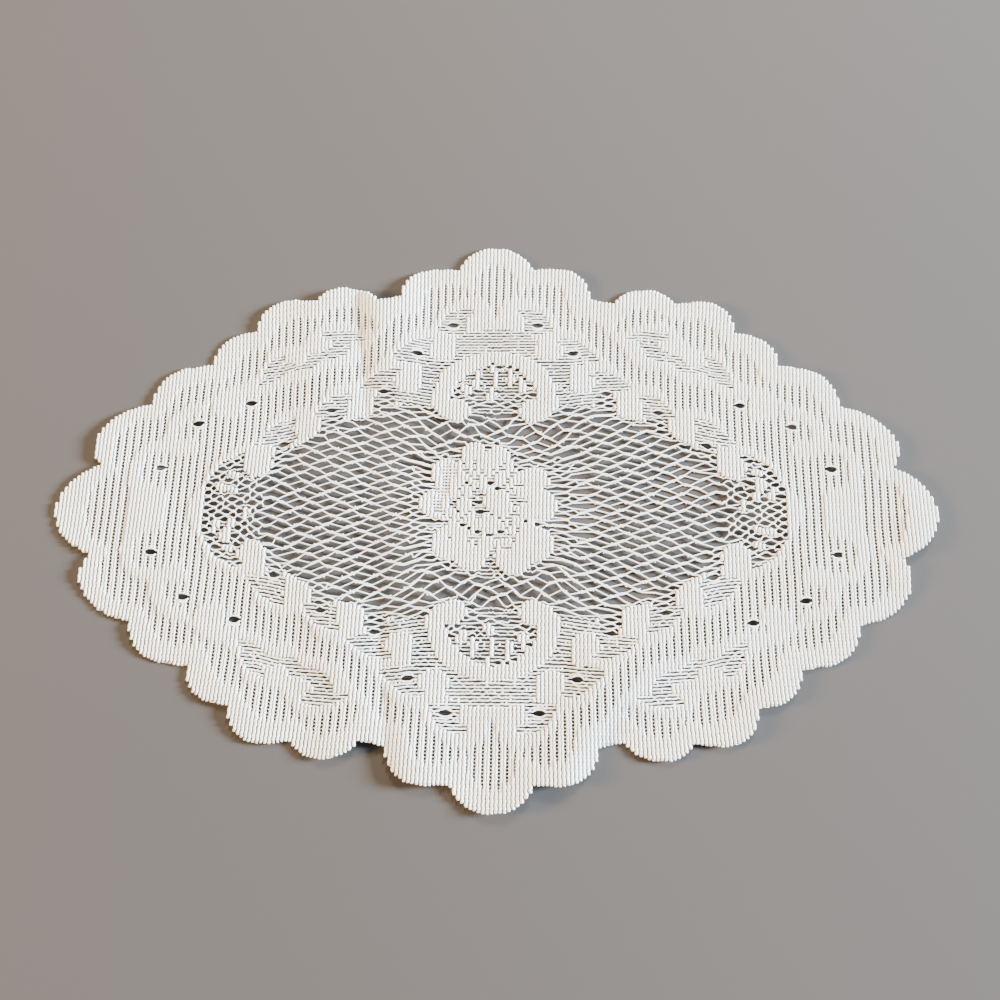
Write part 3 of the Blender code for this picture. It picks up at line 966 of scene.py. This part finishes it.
def matt_table(props):
    """Painted board, fully matt: to the eye one even warm grey, with no grain and no gloss."""
    material = fresh_material("matt_painted_board")
    tree = material.node_tree
    shader = add_node(
        tree,
        "ShaderNodeBsdfPrincipled",
        {"Base Color": hex_colour(props.table_colour), "Roughness": 1.0, "Specular IOR Level": 0.05},
    )
    add_node(tree, "ShaderNodeOutputMaterial", {}, {"Surface": shader.outputs["BSDF"]})
    return material


def yarn_material(props):
    return bpy.data.materials.get("knitted_cotton_yarn") or knitted_cotton(props)


# --- Pieces ---

# A rib's section, wide at its foot and narrow on top: across and up, as shares of its width and height.
RIB_SECTION = [(-0.5, 0.05), (-0.22, 1.0), (0.22, 1.0), (0.5, 0.05)]
RIB_FOOT = 0.3  # how high a rib rests on the chains under it
WELD = 0.000002  # joins a thread's end caps to it

# The loops at each knot: how far they lie to its side at most, how far above or below it, and their radii.
KNOT_LOOPS = 2
KNOT_SIDE = 1.3
KNOT_OUT = (0.45, 0.75)
KNOT_RADII = (0.3, 0.42)
KNOT_LEVEL = LEVEL_OPEN + 0.05


def placed(name, data):
    """A new object that holds the data, at the origin of the scene."""
    thing = bpy.data.objects.new(name, data)
    bpy.context.scene.collection.objects.link(thing)
    return thing


def rib_profile(width, height):
    """Cross-section of a rib: a closed curve to sweep along the ribs."""
    curve = bpy.data.curves.new("rib_section", "CURVE")
    curve.dimensions = "2D"
    spline = curve.splines.new("POLY")
    spline.points.add(len(RIB_SECTION) - 1)
    for slot, (across, up) in zip(spline.points, RIB_SECTION):
        slot.co = (across * width * MM, (RIB_FOOT + up * height) * MM, 0.0, 1.0)
    spline.use_cyclic_u = True
    return placed("rib_section", curve)


def thread_piece(name, threads, material, radius=0.0, sides=4, section=None):
    """Threads of one kind as one closed mesh laid over the folds."""
    curve = bpy.data.curves.new(name, "CURVE")
    curve.dimensions = "3D"
    curve.twist_mode = "Z_UP"
    curve.use_fill_caps = True
    if section is None:
        curve.bevel_depth = radius * MM
        curve.bevel_resolution = (sides - 4) // 2
    else:
        curve.bevel_mode = "OBJECT"
        curve.bevel_object = section
    for thread in threads:
        spline = curve.splines.new("POLY")
        spline.points.add(len(thread) - 1)
        spline.points.foreach_set("co", [v for x, y, z, s in thread for v in (x * MM, y * MM, z * MM, 1.0)])
        spline.points.foreach_set("radius", [s for x, y, z, s in thread])
    drawing = placed(name + "_path", curve)
    depsgraph = bpy.context.evaluated_depsgraph_get()
    mesh = bpy.data.meshes.new_from_object(drawing.evaluated_get(depsgraph))
    bpy.data.objects.remove(drawing, do_unlink=True)
    return finished_piece(name, mesh, material)


def finished_piece(name, mesh, material):
    """Welds a mesh, lays it on the table and makes it a piece of yarn on the body."""
    bm = bmesh.new()
    bm.from_mesh(mesh)
    bmesh.ops.remove_doubles(bm, verts=bm.verts, dist=WELD)
    bmesh.ops.triangulate(bm, faces=bm.faces)
    bmesh.ops.recalc_face_normals(bm, faces=bm.faces)
    bm.to_mesh(mesh)
    bm.free()
    lay_on_table(mesh)
    mesh.polygons.foreach_set("use_smooth", [True] * len(mesh.polygons))
    mesh.materials.clear()
    mesh.materials.append(material)
    mesh.name = name
    piece = placed(name, mesh)
    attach(piece, BODY)
    return piece


class LaceYarn(bpy.types.PropertyGroup):
    """Sizes and colours of the threads."""

    rib_width: bpy.props.FloatProperty(
        name="Rib width", description="Width of one inlay rib at its foot", default=1.88 * MM, unit="LENGTH"
    )
    rib_height: bpy.props.FloatProperty(
        name="Rib height", description="How far a rib stands above its foot", default=1.1 * MM, unit="LENGTH"
    )
    chain_width: bpy.props.FloatProperty(
        name="Chain width", description="Full width of a chain", default=1.0 * MM, unit="LENGTH"
    )
    yarn_colour: bpy.props.StringProperty(
        name="Yarn colour", description="Bleached cotton, sRGB hex", default="#E9E9E0"
    )
    yarn_shade: bpy.props.StringProperty(
        name="Yarn shade", description="Slightly darker patches of the cotton, sRGB hex", default="#DDDCD2"
    )


class LaceStage(bpy.types.PropertyGroup):
    """The table, the lights and the sky."""

    table_colour: bpy.props.StringProperty(
        name="Table colour", description="Matt board under the mat, sRGB hex", default="#474440"
    )
    table_size: bpy.props.FloatProperty(
        name="Table size", description="Side of the square table", default=6.0, unit="LENGTH"
    )
    key_power: bpy.props.FloatProperty(
        name="Key light", description="Power of the soft light behind the mat", default=36.0, unit="POWER"
    )
    window_power: bpy.props.FloatProperty(
        name="Window light", description="Power of the cool light at the right", default=1420.0, unit="POWER"
    )
    lamp_power: bpy.props.FloatProperty(
        name="Lamp light", description="Power of the warm light at the left", default=500.0, unit="POWER"
    )
    sky: bpy.props.FloatProperty(name="Sky", description="Strength of the even light all round", default=0.3)


class LACE_OT_ribs(bpy.types.Operator):
    """Lay the soft inlay ribs of the solid and dotted parts"""

    bl_idname = "lace.ribs"
    bl_label = "Ribs"

    def execute(self, context):
        props = context.scene.lace_yarn
        section = rib_profile(props.rib_width / MM, props.rib_height / MM)
        ribs = thread_piece("lace_ribs", rib_threads(), yarn_material(props), section=section)
        bpy.data.objects.remove(section, do_unlink=True)
        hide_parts(CAD_NODE)
        return {"FINISHED"}


class LACE_OT_chains(bpy.types.Operator):
    """Run the level chains, through the slits, the net and the fans and under the ribs"""

    bl_idname = "lace.chains"
    bl_label = "Chains and net"

    def execute(self, context):
        props = context.scene.lace_yarn
        radius = props.chain_width / MM / 2
        under, shown = chain_threads()
        thread_piece("lace_ground", under, yarn_material(props), radius=radius, sides=4)
        thread_piece("lace_chains", shown, yarn_material(props), radius=radius, sides=6)
        return {"FINISHED"}


class LACE_OT_knots(bpy.types.Operator):
    """Set the small loops that stand out where two chains of the net meet"""

    bl_idname = "lace.knots"
    bl_label = "Knots"

    def execute(self, context):
        dice = random.Random(5)
        bm = bmesh.new()
        for x, y in knots():
            for _ in range(KNOT_LOOPS):
                across = dice.uniform(-KNOT_SIDE, KNOT_SIDE)
                up = dice.choice((-1, 1)) * dice.uniform(*KNOT_OUT)
                radius = dice.uniform(*KNOT_RADII)
                place = Matrix.Translation(Vector((x + across, y + up, KNOT_LEVEL)) * MM)
                bmesh.ops.create_icosphere(bm, subdivisions=1, radius=radius * MM, matrix=place)
        mesh = bpy.data.meshes.new("lace_knots")
        bm.to_mesh(mesh)
        bm.free()
        finished_piece("lace_knots", mesh, yarn_material(context.scene.lace_yarn))
        return {"FINISHED"}


class LACE_OT_declare(bpy.types.Operator):
    """An empty step, which changes nothing"""

    bl_idname = "lace.declare"
    bl_label = "Cloth"

    def execute(self, context):
        return {"FINISHED"}


# The soft round lights, all aimed at the middle of the mat: place and diameter in metres, the property that
# holds the power, and the colour. The camera doesn't see them.
Light = namedtuple("Light", "name place size power colour")
LIGHTS = [
    Light("key", (0.3, 1.0, 0.9), 0.35, "key_power", "#FFFAF2"),
    Light("window", (3.0, 0.24, 0.9), 0.76, "window_power", "#D6E7FF"),
    Light("lamp", (-3.0, -0.24, 0.9), 0.76, "lamp_power", "#FFD3A2"),
]
SKY_COLOUR = "#FFFDF8"

# The camera: its turns about x, y and z in degrees, where it has the mat's middle before it, in metres, and
# its lens and sensor in millimetres.
CAMERA_TURNS = (-15.78, -0.57, -0.43)
CAMERA_OFFSET = (-0.0032, -0.005, -0.5195)
LENS = 36.0
SENSOR = 36.0
NEAREST_SEEN = 0.01


def add_light(light, power):
    lamp = bpy.data.lights.new(light.name, "AREA")
    lamp.shape = "DISK"
    lamp.size = light.size
    lamp.energy = power
    lamp.color = hex_colour(light.colour)[:3]
    thing = placed(light.name, lamp)
    thing.location = light.place
    thing.rotation_euler = (-Vector(light.place)).to_track_quat("-Z", "Y").to_euler()
    thing.visible_camera = False


def add_camera():
    look = Matrix.Identity(3)
    for axis, degrees in zip("XYZ", CAMERA_TURNS):
        look = look @ Matrix.Rotation(math.radians(degrees), 3, axis)
    back = look.transposed()
    lens = bpy.data.cameras.new("camera")
    lens.lens = LENS
    lens.sensor_width = SENSOR
    lens.clip_start = NEAREST_SEEN
    camera = placed("camera", lens)
    camera.matrix_world = Matrix.Translation(-(back @ Vector(CAMERA_OFFSET))) @ back.to_4x4()
    bpy.context.scene.camera = camera


class LACE_OT_stage(bpy.types.Operator):
    """Set the plain table, the soft lights and the camera"""

    bl_idname = "lace.stage"
    bl_label = "Stage"

    def execute(self, context):
        props = context.scene.lace_stage
        bm = bmesh.new()
        bmesh.ops.create_grid(bm, x_segments=1, y_segments=1, size=props.table_size / 2)
        mesh = bpy.data.meshes.new("table")
        bm.to_mesh(mesh)
        bm.free()
        mesh.materials.append(matt_table(props))
        table = placed("table", mesh)

        for light in LIGHTS:
            add_light(light, getattr(props, light.power))
        world = bpy.data.worlds.new("even_sky")
        world.use_nodes = True
        sky = world.node_tree.nodes["Background"]
        sky.inputs["Color"].default_value = hex_colour(SKY_COLOUR)
        sky.inputs["Strength"].default_value = props.sky
        context.scene.world = world
        add_camera()
        return {"FINISHED"}


class LACE_PT_panel(bpy.types.Panel):
    """Lists the steps that build the mat"""

    bl_idname = "LACE_PT_panel"
    bl_label = "Lace doily"
    bl_space_type = "VIEW_3D"
    bl_region_type = "UI"
    bl_category = "Lace doily"

    def draw(self, context):
        for group in (context.scene.lace_yarn, context.scene.lace_stage):
            for name in group.__annotations__:
                self.layout.prop(group, name)
        for step in STEPS:
            self.layout.operator(step.bl_idname)


STEPS = (LACE_OT_stage, LACE_OT_ribs, LACE_OT_chains, LACE_OT_knots, LACE_OT_declare)
CLASSES = (LaceYarn, LaceStage) + STEPS + (LACE_PT_panel,)


def register():
    for cls in CLASSES:
        bpy.utils.register_class(cls)
    bpy.types.Scene.lace_yarn = bpy.props.PointerProperty(type=LaceYarn)
    bpy.types.Scene.lace_stage = bpy.props.PointerProperty(type=LaceStage)


def unregister():
    del bpy.types.Scene.lace_stage
    del bpy.types.Scene.lace_yarn
    for cls in reversed(CLASSES):
        bpy.utils.unregister_class(cls)


def main():
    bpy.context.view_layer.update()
    register()
    bpy.ops.lace.stage()
    bpy.ops.lace.ribs()
    bpy.ops.lace.chains()
    bpy.ops.lace.knots()
    bpy.ops.lace.declare()


if __name__ == "__main__":
    main()
